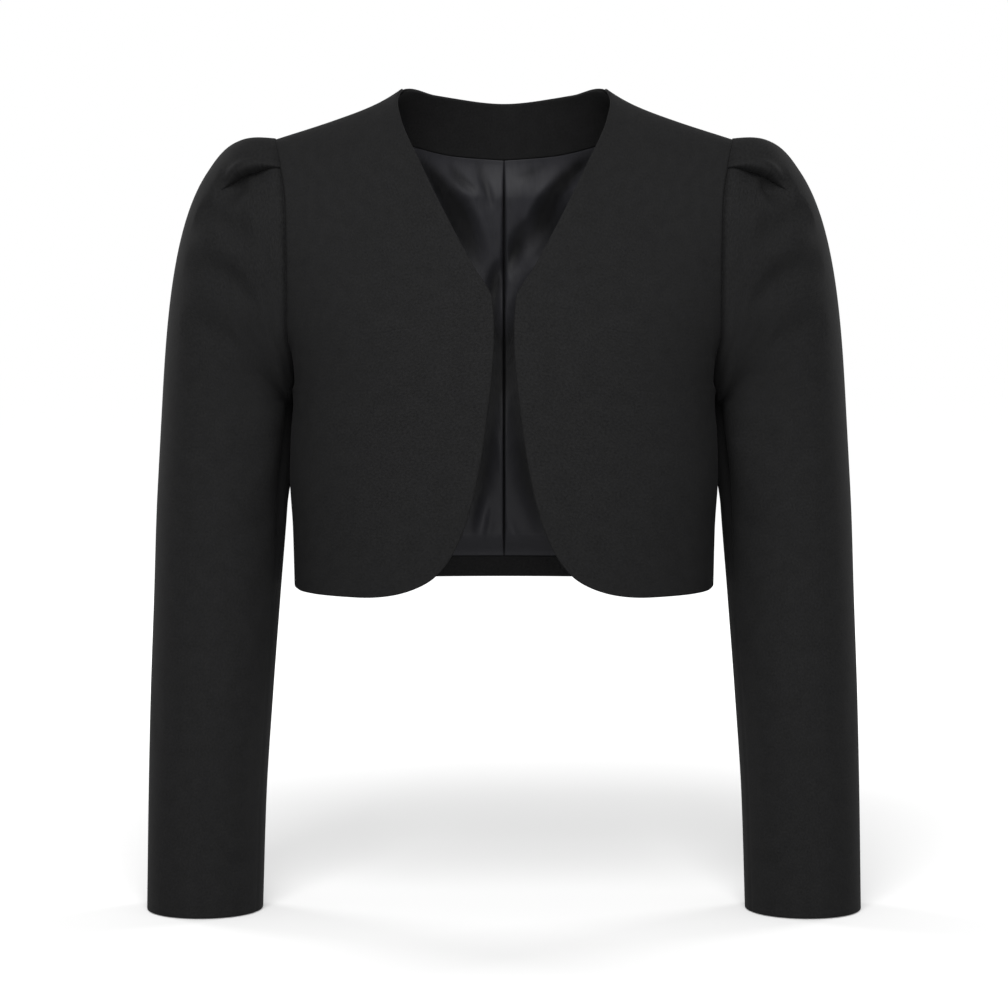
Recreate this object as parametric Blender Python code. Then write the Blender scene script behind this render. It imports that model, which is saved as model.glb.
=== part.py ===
"""Cropped collarless blazer: open cutaway fronts, a plain back and pleated sleeves puffed at the head.

Metres, +Z up. The front faces -Y and +X is the wearer's left. The origin lies midway between the two
shoulder points, where the wearer's shoulders carry the jacket.
"""

import bpy
import numpy as np


def table(columns, *rows):
    """Named columns of a short table, each as an array."""
    return dict(zip(columns.split(), np.array(rows, float).T))


# Cloth
SHELL = 0.0020
FACING = 0.0012
LINING = 0.0010
SEAM_GAP = 0.0003
ARMHOLE_GAP = 0.0006

# Levels, measured from the shoulder points
HEM = -0.347
HEM_LIFT = 0.003
UNDERARM = -0.195
SLEEVE_HEAD_END = -0.208
CUFF = -0.596

# Half width of the body at the side seam
SIDE_SEAM = table(
    "level half_width",
    (HEM, 0.1620),
    (-0.300, 0.1632),
    (-0.260, 0.1654),
    (UNDERARM, 0.1635),
)
# Half width of the ring that shapes the middle of the panels: it widens evenly past the underarm, up to a
# level from which the armhole alone sets it
BODY_RING = table(
    "level half_width",
    (HEM, 0.1620),
    (-0.300, 0.1634),
    (-0.260, 0.1656),
    (UNDERARM, 0.1652),
    (-0.170, 0.1693),
    (-0.150, 0.1765),
    (-0.120, 0.1890),
)
RING_EDGE = 14
# Part of the ring, in degrees from the centre, over which the panels' columns are spread evenly. At the top
# it puts one of the back's columns on the neck point.
COLUMN_SPREAD = table(
    "level degrees",
    (HEM, 90),
    (UNDERARM, 90),
    (-0.120, 62),
    (-0.050, 42),
    (0.000, 28.61),
)
# How far the body stands in front of the side seam at the centre front, and behind it at the centre back
BODY_DEPTH = table(
    "level front back",
    (HEM, 0.1230, 0.1050),
    (-0.270, 0.1265, 0.1085),
    (UNDERARM, 0.1255, 0.1115),
    (-0.150, 0.1200, 0.1120),
    (-0.100, 0.1095, 0.1105),
    (-0.050, 0.0970, 0.1045),
    (0.000, 0.0880, 0.0970),
    (0.045, 0.0820, 0.0920),
)
SQUARENESS = 2.3
# Top of the body: the shoulder seam from 0.0785 outwards, and the slope that it rises to towards the neck
SHOULDER_LINE = table(
    "from_centre level",
    (-0.040, 0.0750),
    (0.000, 0.1060),
    (0.040, 0.0750),
    (0.0785, 0.0395),
    (0.100, 0.0268),
    (0.130, 0.0152),
    (0.177, 0.0000),
)
SHOULDER_POINT = SHOULDER_LINE["from_centre"][-1]
SHOULDER_TURN = 0.220
NECK_POINT = 0.0785
NECK_CENTRE_BACK = 0.0335
NECK_ROLL = 0.0019
NECK_ROLL_WIDTH = 0.024

# Front edge from the hem's round corner up the cutaway and the V neckline, by its height above the hem
FRONT_EDGE = table(
    "above_hem from_centre",
    (0.000, 0.1100),
    (0.004, 0.0770),
    (0.018, 0.0500),
    (0.060, 0.0270),
    (0.138, 0.0122),
    (0.197, 0.0073),
    (0.222, 0.0085),
    (0.248, 0.0231),
    (0.322, 0.0610),
    (0.363, 0.0790),
    (0.376, 0.0815),
    (0.3865, NECK_POINT),
)
# Armhole seam as seen from the front, and its reach forwards and backwards from the side seam: an egg shape,
# broad at the underarm
ARMHOLE = table(
    "level from_centre",
    (UNDERARM, 0.1635),
    (-0.186, 0.1603),
    (-0.170, 0.1612),
    (-0.150, 0.1642),
    (-0.090, 0.1650),
    (-0.050, 0.1665),
    (-0.020, 0.1715),
    (0.000, SHOULDER_POINT),
)
ARMHOLE_REACH = {"front": 0.058, "back": 0.060}
ARMHOLE_BREADTH = 0.5

# Sleeve tube from the end of the head to the cuff
SLEEVE = table(
    "level centre_x centre_y half_width half_depth",
    (CUFF, 0.2327, -0.020, 0.0440, 0.0445),
    (-0.509, 0.2309, -0.014, 0.0448, 0.0465),
    (-0.431, 0.2279, -0.006, 0.0466, 0.0490),
    (-0.357, 0.2243, 0.003, 0.0482, 0.0510),
    (-0.271, 0.2200, 0.012, 0.0501, 0.0535),
    (SLEEVE_HEAD_END, 0.2168, 0.018, 0.0502, 0.0550),
)
# Way that the head leaves the armhole at its top, its front and back, and its underarm
HEAD_TOP = np.array((0.99, 0.0, 0.09))
HEAD_SIDE = np.array((0.60, 0.04, 0.40))
HEAD_UNDERARM = np.array((0.10, 0.0, -1.0))
HEAD_FULLNESS = 1.00
HEAD_DROP = 1.15

# Box pleat at the top of each sleeve head
PLEAT_TURN = np.radians(40.5)
PLEAT_DRIFT = np.radians(14.0)
PLEAT_SPREAD = np.radians(26.0)
PLEAT_LENGTH = 0.40
PLEAT_RAISE = 0.0060
PLEAT_TUCK = 0.0040
PLEAT_ROUND = np.radians(5.0)
PLEAT_MIDDLE = 0.30
PLEAT_SEWN = 0.85
PLEAT_OPENS = 0.12

# Soft troughs across the sleeve head, front ones first: turn in degrees and share of the head at both ends
DRAPES = table(
    "turn_from down_from turn_to down_to depth half_width",
    (36, 0.43, 80, 0.14, 0.0028, 0.009),
    (38, 0.60, 98, 0.23, 0.0026, 0.010),
    (-40, 0.48, -92, 0.16, 0.0028, 0.010),
    (-46, 0.70, -110, 0.30, 0.0022, 0.010),
)
DRAPE_AROUND = 0.055
DRAPE_DOWN = 0.180
DRAPE_CLEAR = 0.10

# Back neck facing and hem facing
NECK_FACING_END = 9 / 14
NECK_FACING_EDGE = table(
    "from_centre level",
    (0.000, -0.0096),
    (0.040, -0.0070),
    (0.074, 0.0000),
    (0.100, 0.0090),
    (0.114, 0.0145),
)
HEM_FACING_TOP = -0.3305
LINING_END = 13 / 14
LAYER_GAP = 0.0010
LINING_BELOW = 0.001
CENTRE_SEAM = 0.0015

# Points along half an armhole, in degrees from the shoulder point to the underarm: the panels' rows and the
# sleeve's columns meet there. The sleeve has more columns at its pleat's fold.
ARMHOLE_POINTS = np.radians((0, 9, 18, 26, 34, 45, 55, 66, 80, 95, 110, 126, 142, 156, 168, 180))
FOLD_POINTS = np.radians((-3.4, -1.2, -0.4, 0.4))
HEAD_ROWS = (0, 0.05, 0.12, 0.20, 0.29, 0.39, 0.50, 0.62, 0.75, 0.88)
BACK_COLUMNS = np.linspace(-1, 1, 29)
# Rows of a panel below its armhole as shares of its height, closest at the hem's round corner, and the least
# share at which a front's normals are taken: on the hem itself that corner has none
LOW_ROWS = 0.40 * np.linspace(0, 1, 10) ** 2
NORMAL_LEAST = 0.003

COLOURS = {
    "suiting": ((0.017, 0.017, 0.018), 0.85),
    "satin": ((0.030, 0.030, 0.034), 0.35),
}


def curve(columns, x, y, at):
    """Smooth curve through a table's rows: cubic pieces whose slopes never overshoot a row."""
    order = np.argsort(columns[x])
    xs, ys = columns[x][order], columns[y][order]
    step = np.diff(xs)
    slope = np.diff(ys) / step
    rising = slope[:-1] * slope[1:] > 0
    total = np.where(rising, slope[:-1] + slope[1:], 1.0)
    middle = np.where(rising, 2 * slope[:-1] * slope[1:] / total, 0.0)
    tangent = np.concatenate([slope[:1], middle, slope[-1:]])
    at = np.clip(at, xs[0], xs[-1])
    i = np.clip(np.searchsorted(xs, at) - 1, 0, len(step) - 1)
    return hermite((at - xs[i]) / step[i], ys[i], tangent[i] * step[i], ys[i + 1], tangent[i + 1] * step[i])


def hermite(t, start, leave, end, arrive):
    """Cubic from start to end that leaves and arrives with the given slopes."""
    rest = 1 - t
    return (
        (1 + 2 * t) * rest**2 * start
        + t * rest**2 * leave
        + t**2 * (3 - 2 * t) * end
        - t**2 * rest * arrive
    )


def fade(t):
    """From 1 at t = 0 smoothly to 0 at t = 1."""
    t = np.clip(t, 0, 1)
    return 1 - t * t * (3 - 2 * t)


def shoulder_turn(x, level):
    """From 0 on the shoulder seam to 1 where the cloth hangs straight: a quarter of an ellipse."""
    drop = (curve(SHOULDER_LINE, "from_centre", "level", np.abs(x)) - level) / SHOULDER_TURN
    drop = np.clip(drop, 0, 1)
    return np.sqrt(drop * (2 - drop))


def armhole_round(turn):
    """Share of the armhole's reach at a turn: an egg, with its broad end at the underarm."""
    return np.abs(np.sin(turn)) ** np.where(np.cos(turn) < 0, ARMHOLE_BREADTH, 1.0)


def half_width(level, face):
    """Half width of the body's ring at a level; above the underarm it leads the panel through the armhole."""
    below = curve(SIDE_SEAM, "level", "half_width", level)
    level = np.clip(level, UNDERARM, 0.001 * UNDERARM)
    edge = curve(ARMHOLE, "level", "from_centre", level)
    depth = curve(BODY_DEPTH, "level", face, level) * shoulder_turn(edge, level)
    turn = np.arccos(1 - 2 * level / UNDERARM)
    share = ARMHOLE_REACH[face] * armhole_round(turn) / depth
    above = edge / (1 - share**SQUARENESS) ** (1 / SQUARENESS)
    return np.where(level <= UNDERARM, below, above)


def body_points(x, level, face):
    """Points of the body's cloth: a squared ellipse at each level, turned in towards the shoulder seam."""
    edge = half_width(level, face)
    even = curve(BODY_RING, "level", "half_width", level)
    rise = (level - UNDERARM) / (BODY_RING["level"][-1] - UNDERARM)
    near_edge = np.clip(np.abs(x) / outer_edge(level), 0, 1) ** RING_EDGE
    ring_width = edge + (even - edge) * fade(rise) * (1 - near_edge)
    share = np.clip(np.abs(x) / ring_width, 0, 1)
    ring = (1 - share**SQUARENESS) ** (1 / SQUARENESS)
    depth = curve(BODY_DEPTH, "level", face, level) * ring * shoulder_turn(x, level) + SEAM_GAP / 2
    return np.stack([x, -depth if face == "front" else depth, level], axis=-1)


def outer_edge(level):
    """Distance from the centre of a panel's outer edge: side seam, then armhole."""
    side = curve(SIDE_SEAM, "level", "half_width", level)
    return np.where(level <= UNDERARM, side, curve(ARMHOLE, "level", "from_centre", level))


def across_ring(share, start, end):
    """Distance from the centre, a share of the way round the ring to the end's level and distance."""
    last = np.radians(curve(COLUMN_SPREAD, "level", "degrees", end[0]))
    first = np.arcsin(start / end[1] * np.sin(last))
    done = (np.sin(first + (last - first) * share) - np.sin(first)) / (np.sin(last) - np.sin(first))
    return start + (end[1] - start) * done


def hem_level(across):
    """Level of the hem: even, and lifted a little towards the side seam."""
    return HEM + HEM_LIFT * across**4


def across_panel(across, up, inner, level):
    """Distance from the centre of a panel's points: even steps round the ring, fitted to the outer edge."""
    low = hem_level(1) * (1 - up)
    x = across_ring(across, inner, (low, outer_edge(low)))
    return x * (1 + (outer_edge(level) / outer_edge(low) - 1) * across)


def front_surface(across, up):
    """Front panel: across 0 at the front edge and 1 at the side, up 0 at the hem and 1 at the shoulder."""
    above_hem = FRONT_EDGE["above_hem"][-1] * up
    roots = {key: np.sqrt(value) if key == "above_hem" else value for key, value in FRONT_EDGE.items()}
    inner = curve(roots, "above_hem", "from_centre", np.sqrt(above_hem))
    shoulder = across_ring(across, NECK_POINT, (0.0, SHOULDER_POINT))
    top = curve(SHOULDER_LINE, "from_centre", "level", shoulder)
    level = hem_level(across) + (top - hem_level(across)) * up
    return body_points(across_panel(across, up, inner, level), level, "front")


def back_top(x):
    """Level of the back's top edge: the neckline, rounded over next to the neck point, then the shoulder."""
    neck_level = curve(SHOULDER_LINE, "from_centre", "level", np.array(NECK_POINT))
    inward = np.clip((NECK_POINT - x) / NECK_ROLL_WIDTH, 0, 1)
    neck = neck_level + (NECK_CENTRE_BACK - neck_level) * fade(x / NECK_POINT)
    neck = neck + NECK_ROLL * 6.75 * inward * (1 - inward) ** 2
    return np.where(x < NECK_POINT, neck, curve(SHOULDER_LINE, "from_centre", "level", x))


def back_surface(across, up):
    """Back panel: across -1 at the wearer's left and 1 at the right, up 0 at the hem and 1 at the top."""
    side = np.abs(across)
    shoulder = across_ring(side, 0.0, (0.0, SHOULDER_POINT))
    level = hem_level(side) + (back_top(shoulder) - hem_level(side)) * up
    x = across_panel(side, up, 0.0, level)
    return body_points(-np.sign(across) * x, level, "back")


def back_height(across, level):
    """Share of the way up the back panel at which its cloth reaches a level."""
    side = np.abs(across)
    shoulder = across_ring(side, 0.0, (0.0, SHOULDER_POINT))
    return (level - hem_level(side)) / (back_top(shoulder) - hem_level(side))


def armhole_seam(turn):
    """Armhole's seam: turn 0 at the shoulder point, a quarter turn at the front, half at the underarm."""
    level = UNDERARM * (1 - np.cos(turn)) / 2
    reach = np.where(np.sin(turn) > 0, -ARMHOLE_REACH["front"], ARMHOLE_REACH["back"]) * armhole_round(turn)
    return np.stack([curve(ARMHOLE, "level", "from_centre", level), reach, level], axis=-1)


def sleeve_tube(turn, level):
    """Straight part of the sleeve: an ellipse at each level."""
    size = {key: curve(SLEEVE, "level", key, level) for key in SLEEVE if key != "level"}
    x = size["centre_x"] + size["half_width"] * np.cos(turn)
    y = size["centre_y"] - size["half_depth"] * np.sin(turn)
    return np.stack([x, y, level + np.zeros_like(turn)], axis=-1)


def sleeve_surface(turn, down):
    """Sleeve: down 0 at the armhole, 1 at the end of the puffed head and 2 at the cuff."""
    low, side = (1 - np.cos(turn)) / 2, np.abs(np.sin(turn))
    set_off = (ARMHOLE_GAP + SHELL * low)[..., None] * np.array((1.0, 0.0, 0.0))
    start = armhole_seam(turn) + set_off
    leave = (1 - low)[..., None] * HEAD_TOP + low[..., None] * HEAD_UNDERARM + side[..., None] * HEAD_SIDE
    leave = leave / np.linalg.norm(leave, axis=-1, keepdims=True)
    end = sleeve_tube(turn, SLEEVE_HEAD_END)
    below = sleeve_tube(turn, SLEEVE_HEAD_END - SEAM_GAP)
    arrive = (below - end) / SEAM_GAP
    reach = np.linalg.norm(end - start, axis=-1, keepdims=True)
    head = hermite(
        np.clip(down, 0, 1)[..., None], start, leave * reach * HEAD_FULLNESS, end, arrive * reach * HEAD_DROP
    )
    level = SLEEVE_HEAD_END + (CUFF - SLEEVE_HEAD_END) * np.clip(down - 1, 0, 1)
    return np.where((down <= 1)[..., None], head, sleeve_tube(turn, level))


def normals(surface, u, v, ring=False, step=1e-4):
    """Unit normals of a surface and its direction of growing u. A ring's u runs on past its last column."""
    low, high = (-np.inf, np.inf) if ring else (u.min(), u.max())
    along_u = surface(np.minimum(u + step, high), v) - surface(np.maximum(u - step, low), v)
    along_v = surface(u, np.minimum(v + step, v.max())) - surface(u, np.maximum(v - step, v.min()))
    normal = np.cross(along_u, along_v)
    unit = normal / np.linalg.norm(normal, axis=-1, keepdims=True)
    return unit, along_u / np.linalg.norm(along_u, axis=-1, keepdims=True)


def rows_up():
    """Rows of a panel: those below the underarm, then one for each point of the armhole."""
    level = UNDERARM * (1 - np.cos(ARMHOLE_POINTS[::-1])) / 2
    return np.concatenate([LOW_ROWS, 1 - level / hem_level(1)])


def grid(columns, rows):
    """Two arrays that give each point of a grid its column and its row."""
    return np.meshgrid(np.asarray(columns, float), np.asarray(rows, float))


def wall(name, outer, inner, cloth, ring=False):
    """Closed wall between two grids of points. A ring joins its last column to its first."""
    rows, columns = outer.shape[:2]
    index = np.arange(rows * columns).reshape(rows, columns)
    if ring:
        index = np.column_stack([index, index[:, 0]])
    inside = index + rows * columns

    def quads(a, b, c, d):
        return np.stack([a.ravel(), b.ravel(), c.ravel(), d.ravel()], axis=-1).tolist()

    faces = quads(index[:-1, :-1], index[:-1, 1:], index[1:, 1:], index[1:, :-1])
    faces += quads(inside[:-1, :-1], inside[1:, :-1], inside[1:, 1:], inside[:-1, 1:])
    faces += quads(inside[0, :-1], inside[0, 1:], index[0, 1:], index[0, :-1])
    faces += quads(index[-1, :-1], index[-1, 1:], inside[-1, 1:], inside[-1, :-1])
    if not ring:
        faces += quads(index[:-1, 0], index[1:, 0], inside[1:, 0], inside[:-1, 0])
        faces += quads(inside[:-1, -1], inside[1:, -1], index[1:, -1], index[:-1, -1])
    points = np.concatenate([outer.reshape(-1, 3), inner.reshape(-1, 3)])
    mesh = bpy.data.meshes.new(name)
    mesh.from_pydata(points.tolist(), [], faces)
    mesh.materials.append(material(name, cloth))
    mesh.shade_smooth()
    mesh.set_sharp_from_angle(angle=np.radians(50))
    made = bpy.data.objects.new(name, mesh)
    bpy.context.scene.collection.objects.link(made)
    return made


def material(name, cloth):
    """A piece's own material, in its cloth's colour and roughness."""
    colour, roughness = COLOURS[cloth]
    made = bpy.data.materials.new(name)
    made.use_nodes = True
    shader = made.node_tree.nodes["Principled BSDF"]
    shader.inputs["Base Color"].default_value = (*colour, 1.0)
    shader.inputs["Roughness"].default_value = roughness
    shader.inputs["Metallic"].default_value = 0.0
    return made


def mirrored(points, side):
    """Points of the wearer's left half, or with side -1 the same on the right, their columns turned about."""
    return points if side > 0 else points[:, ::-1] * (-1.0, 1.0, 1.0)


def make_front(name, side):
    across, up = grid(np.linspace(0, 1, 14), rows_up())
    points = front_surface(across, up)
    normal, _ = normals(front_surface, across, np.maximum(up, NORMAL_LEAST))
    outward = normal * SHELL / 2
    wall(name, mirrored(points + outward, side), mirrored(points - outward, side), "suiting")


def inside_back(across, up, thickness, clearance):
    """Outer and inner points of a layer that lies inside the back panel, made from its points moved in."""
    points = back_surface(across, up)
    normal, _ = normals(back_surface, across, up)
    outer = points - normal * (SHELL / 2 + clearance)
    return outer, outer - normal * thickness


def make_back():
    across, up = grid(BACK_COLUMNS, rows_up())
    points = back_surface(across, up)
    normal, _ = normals(back_surface, across, up)
    wall("back", points + normal * SHELL / 2, points - normal * SHELL / 2, "suiting")


def make_sleeve(name, side):
    half = np.sort(np.concatenate([ARMHOLE_POINTS, PLEAT_TURN + FOLD_POINTS]))
    rows = np.concatenate([HEAD_ROWS, 1 + np.linspace(0, 1, 13)])
    turn, down = grid(np.concatenate([half, -half[-2:0:-1]]), rows)
    raised, slid, leant = pleat(turn, down)
    normal, round_sleeve = normals(sleeve_surface, leant, down, ring=True)
    points = sleeve_surface(leant, down) - normal * drape(turn, down)[..., None]
    outer = points + normal * (SHELL / 2 + raised)[..., None] + round_sleeve * slid[..., None]
    wall(name, mirrored(outer, side), mirrored(points - normal * SHELL / 2, side), "suiting", ring=True)


def drape(turn, down):
    """Depth of the soft troughs: bells about straight lines on the head laid flat, gone before its seam."""
    flat = np.stack([turn * DRAPE_AROUND, down * DRAPE_DOWN], axis=-1)
    depth = np.zeros_like(turn)
    for turn_from, down_from, turn_to, down_to, deep, half in zip(*DRAPES.values()):
        start = np.array((np.radians(turn_from) * DRAPE_AROUND, down_from * DRAPE_DOWN))
        along = np.array((np.radians(turn_to) * DRAPE_AROUND, down_to * DRAPE_DOWN)) - start
        share = np.clip((flat - start) @ along / (along @ along), 0, 1)
        away = np.linalg.norm(flat - start - share[..., None] * along, axis=-1)
        depth += deep * np.exp(-((away / half) ** 2))
    return depth * (1 - fade(down / DRAPE_CLEAR))


def pleat(turn, down):
    """Box pleat: how far it raises the head's outer points and slides its folded edges over the cloth below,
    and the columns leant along with its folds, which draw together down the sleeve."""
    past_fold = np.abs(turn) - PLEAT_TURN
    fullness = fade(down / PLEAT_LENGTH) * (1 - PLEAT_SEWN * fade(down / PLEAT_OPENS))
    on_pleat = past_fold < 0
    height = PLEAT_RAISE * (PLEAT_MIDDLE + (1 - PLEAT_MIDDLE) * fade(-past_fold / PLEAT_TURN))
    raised = np.where(on_pleat, height, 0.0) * fullness
    slid = np.where(on_pleat, PLEAT_TUCK * np.exp(-((past_fold / PLEAT_ROUND) ** 2)), 0.0) * fullness
    lean = PLEAT_DRIFT * np.minimum(down, PLEAT_LENGTH) * fade(np.abs(past_fold) / PLEAT_SPREAD)
    return raised, slid * np.sign(turn), turn - lean * np.sign(turn)


def neck_facing_height(across):
    """Share of the way up the back panel of the neck facing's lower edge."""
    x = across_ring(np.abs(across), 0.0, (0.0, SHOULDER_POINT))
    return back_height(across, curve(NECK_FACING_EDGE, "from_centre", "level", x))


def make_neck_facing():
    columns = BACK_COLUMNS[np.abs(BACK_COLUMNS) < NECK_FACING_END + 0.01]
    across, share = grid(columns, np.linspace(0, 1, 5))
    low = neck_facing_height(across)
    wall("neck_facing", *inside_back(across, low + (1 - low) * share, FACING, LAYER_GAP), "suiting")


def make_hem_facing():
    columns = BACK_COLUMNS[np.abs(BACK_COLUMNS) < LINING_END + 0.01]
    across, share = grid(columns, np.linspace(0, 1, 2))
    up = back_height(across, HEM_FACING_TOP) * share
    wall("hem_facing", *inside_back(across, up, FACING, LAYER_GAP), "suiting")


def make_back_lining(name, side):
    columns = BACK_COLUMNS[(BACK_COLUMNS >= -0.01) & (BACK_COLUMNS < LINING_END + 0.01)]
    columns[0] = CENTRE_SEAM
    across, share = grid(columns if side < 0 else -columns[::-1], np.linspace(0, 1, 17))
    below_facing = np.abs(across) < NECK_FACING_END + 0.01
    top = np.where(below_facing, neck_facing_height(across), 1.0) - LINING_BELOW
    low = back_height(across, HEM_FACING_TOP + SEAM_GAP)
    wall(name, *inside_back(across, low + (top - low) * share, LINING, LAYER_GAP), "satin")


def main():
    for old in list(bpy.data.objects):
        bpy.data.objects.remove(old)
    make_back()
    make_neck_facing()
    make_hem_facing()
    for side, word in ((1, "left"), (-1, "right")):
        make_front(f"front_{word}", side)
        make_sleeve(f"sleeve_{word}", side)
        make_back_lining(f"lining_back_{word}", side)


main()
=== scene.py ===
"""Dresses the cropped collarless blazer: napped suiting, satin lining, rolled edges and pleated sleeves.

Metres, +Z up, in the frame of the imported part: the front faces -Y and +X is the wearer's left.
"""

import bpy
import numpy as np
from bpy.props import FloatProperty, FloatVectorProperty, PointerProperty
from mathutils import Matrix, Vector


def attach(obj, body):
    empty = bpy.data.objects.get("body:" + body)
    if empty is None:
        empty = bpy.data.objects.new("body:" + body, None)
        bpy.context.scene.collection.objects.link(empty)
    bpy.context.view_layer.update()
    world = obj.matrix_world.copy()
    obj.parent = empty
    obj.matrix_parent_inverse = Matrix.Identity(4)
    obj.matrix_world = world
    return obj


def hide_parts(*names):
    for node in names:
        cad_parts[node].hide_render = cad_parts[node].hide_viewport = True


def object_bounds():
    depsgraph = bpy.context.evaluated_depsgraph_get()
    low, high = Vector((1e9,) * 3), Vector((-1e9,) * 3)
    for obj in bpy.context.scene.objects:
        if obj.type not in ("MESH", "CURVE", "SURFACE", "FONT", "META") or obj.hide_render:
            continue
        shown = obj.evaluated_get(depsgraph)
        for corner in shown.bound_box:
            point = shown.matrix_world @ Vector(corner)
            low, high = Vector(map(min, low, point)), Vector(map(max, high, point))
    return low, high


bl_info = {
    "name": "Cropped Blazer",
    "version": (1, 0, 0),
    "blender": (4, 5, 0),
    "location": "3D View > Sidebar > Blazer",
    "description": "Cloth, seams, folds and studio for a cropped collarless blazer",
    "category": "Object",
}

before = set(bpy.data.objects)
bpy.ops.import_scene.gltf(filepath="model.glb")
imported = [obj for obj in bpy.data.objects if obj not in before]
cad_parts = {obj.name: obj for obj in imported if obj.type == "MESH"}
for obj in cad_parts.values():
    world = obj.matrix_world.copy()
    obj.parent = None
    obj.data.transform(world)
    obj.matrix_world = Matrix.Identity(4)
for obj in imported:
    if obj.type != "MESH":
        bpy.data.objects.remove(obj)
CAD_BOX = [list(corner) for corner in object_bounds()]


def table(columns, *rows):
    """Named columns of a short table, each as an array."""
    return dict(zip(columns.split(), np.array(rows, float).T))


# Levels from the shoulder points, and the hem's lift at the sides
HEM = -0.347
HEM_LIFT = 0.003
HEM_POWER = 4
UNDERARM = -0.195
SLEEVE_HEAD_END = -0.208
CUFF = -0.596

# Body: half width at the side seam, and half width and depth of the ring that shapes the panels
SIDE_SEAM = table(
    "level half_width",
    (HEM, 0.1620),
    (-0.300, 0.1632),
    (-0.260, 0.1654),
    (UNDERARM, 0.1635),
)
BODY_RING = table(
    "level half_width",
    (HEM, 0.1620),
    (-0.300, 0.1634),
    (-0.260, 0.1656),
    (UNDERARM, 0.1652),
    (-0.170, 0.1693),
    (-0.150, 0.1765),
    (-0.120, 0.1890),
)
BODY_DEPTH = table(
    "level front back",
    (HEM, 0.1230, 0.1050),
    (-0.270, 0.1265, 0.1085),
    (UNDERARM, 0.1255, 0.1115),
    (-0.150, 0.1200, 0.1120),
    (-0.100, 0.1095, 0.1105),
    (-0.050, 0.0970, 0.1045),
    (0.000, 0.0880, 0.0970),
    (0.045, 0.0820, 0.0920),
)
# Powers of the ring's squared ellipse and of its turn to the panel's own edge
SQUARENESS = 2.3
RING_EDGE = 14
# Degrees of the ring, from the centre, over which a panel's columns are spread evenly
COLUMN_SPREAD = table(
    "level degrees",
    (HEM, 90),
    (UNDERARM, 90),
    (-0.120, 62),
    (-0.050, 42),
    (0.000, 28.61),
)
# Shoulder seam, and the drop over which the cloth turns down from it
SHOULDER_LINE = table(
    "from_centre level",
    (-0.040, 0.0750),
    (0.000, 0.1060),
    (0.040, 0.0750),
    (0.0785, 0.0395),
    (0.100, 0.0268),
    (0.130, 0.0152),
    (0.177, 0.0000),
)
SHOULDER_POINT = SHOULDER_LINE["from_centre"][-1]
SHOULDER_TURN = 0.220
# Neck: end of the shoulder seam, level of the back neckline, and its hump beside that end
NECK_POINT = 0.0785
NECK_CENTRE_BACK = 0.0335
NECK_ROLL = 0.0019
NECK_ROLL_WIDTH = 0.024
HUMP_SCALE = 27 / 4
# Front edge, from the cutaway hem up the V neckline
FRONT_EDGE = table(
    "above_hem from_centre",
    (0.000, 0.1100),
    (0.004, 0.0770),
    (0.018, 0.0500),
    (0.060, 0.0270),
    (0.138, 0.0122),
    (0.197, 0.0073),
    (0.222, 0.0085),
    (0.248, 0.0231),
    (0.322, 0.0610),
    (0.363, 0.0790),
    (0.376, 0.0815),
    (0.3865, NECK_POINT),
)
# Armhole: seam, reach, power that broadens its lower half, and share left out at its top
ARMHOLE = table(
    "level from_centre",
    (UNDERARM, 0.1635),
    (-0.186, 0.1603),
    (-0.170, 0.1612),
    (-0.150, 0.1642),
    (-0.090, 0.1650),
    (-0.050, 0.1665),
    (-0.020, 0.1715),
    (0.000, SHOULDER_POINT),
)
ARMHOLE_REACH = {"front": 0.058, "back": 0.060}
ARMHOLE_BREADTH = 0.5
ARMHOLE_TOP_SHARE = 0.001

# Sleeve: its tube, and how its head leaves the armhole at the top, the sides and the underarm
SLEEVE = table(
    "level centre_x centre_y half_width half_depth",
    (CUFF, 0.2327, -0.020, 0.0440, 0.0445),
    (-0.509, 0.2309, -0.014, 0.0448, 0.0465),
    (-0.431, 0.2279, -0.006, 0.0466, 0.0490),
    (-0.357, 0.2243, 0.003, 0.0482, 0.0510),
    (-0.271, 0.2200, 0.012, 0.0501, 0.0535),
    (SLEEVE_HEAD_END, 0.2168, 0.018, 0.0502, 0.0550),
)
HEAD_TOP = np.array((0.99, 0.0, 0.09))
HEAD_SIDE = np.array((0.60, 0.04, 0.40))
HEAD_UNDERARM = np.array((0.10, 0.0, -1.0))
HEAD_DROP = 1.15
SLOPE_STEP = 0.0003
# Gap between head and armhole seam, which the wall's thickness widens at the underarm
ARMHOLE_GAP = 0.0001
SET_OFF_POWER = 5
OUTWARD = np.array((1.0, 0.0, 0.0))
# Sleeve's even radius, and its lengths down the head and the arm
SLEEVE_RADIUS = 0.055
HEAD_FALL = 0.180
ARM_FALL = 0.388

# Box pleat at the top of the sleeve: turn of its folds, how they lean down the head, and where they end
PLEAT_TURN = np.radians(40.5)
PLEAT_DRIFT = np.radians(14.0)
PLEAT_SPREAD = np.radians(26.0)
PLEAT_LEAN_END = 0.40
PLEAT_FULL = 0.15
PLEAT_END = 0.31
# Its rim: half width, share of the height midway, share held down at the armhole, and where that ends
PLEAT_ROUND = np.radians(5.0)
PLEAT_MIDDLE = 0.30
PLEAT_SEWN = 0.85
PLEAT_OPENS = 0.12
# Roll beside the fold, hollow on either side, the fold's own band, and grid lines about it
ROLL_BACK = np.radians(2.0)
ROLL_HALF = np.radians(1.8)
HOLLOW_BELOW = np.radians(10.5)
HOLLOW_ABOVE = np.radians(2.5)
FOLD_BAND = np.radians(0.5)
ABOVE_FOLD = np.radians((-10, -8.4, -7, -5.8, -4.8, -3.9, -3.1, -2.4, -1.7, -1.1, -0.6, -0.25))
BELOW_FOLD = np.radians((0.8, 1.2, 1.8, 2.5, 3.3, 4.2, 5.2, 6.4, 7.8, 9.4))
FOLD_LINES = 8
FOLD_MARGIN = 0.01

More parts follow.
